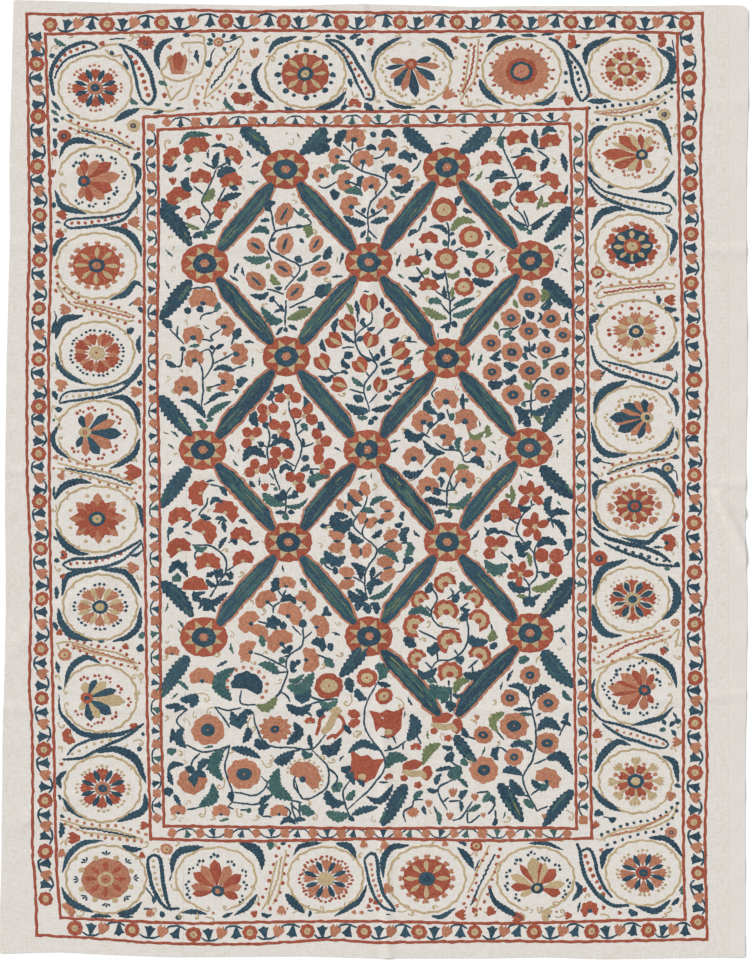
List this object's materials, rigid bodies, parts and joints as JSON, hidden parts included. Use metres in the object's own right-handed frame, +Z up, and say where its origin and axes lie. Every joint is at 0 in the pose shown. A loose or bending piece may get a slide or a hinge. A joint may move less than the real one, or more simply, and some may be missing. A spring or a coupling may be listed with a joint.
{
  "type": "suzani embroidered textile",
  "caption": "Hand-embroidered suzani of joined cotton panels with a flower lattice field and a roundel border, laid out flat.",
  "frame": {"origin": "middle of the cloth's outline, on the surface it lies on", "axes": "+X across the cloth to the hemmed right side, +Y along it to the head edge, +Z up out of its face"},
  "size_m": [1.646, 2.1096, 0.0077],
  "materials": {
    "cotton": "matt hand-loomed cotton with satin-stitched cotton and silk thread"
  },
  "bodies": {
    "root": {"left_panel": "cotton", "main_panel": "cotton"}
  },
  "joints": []
}
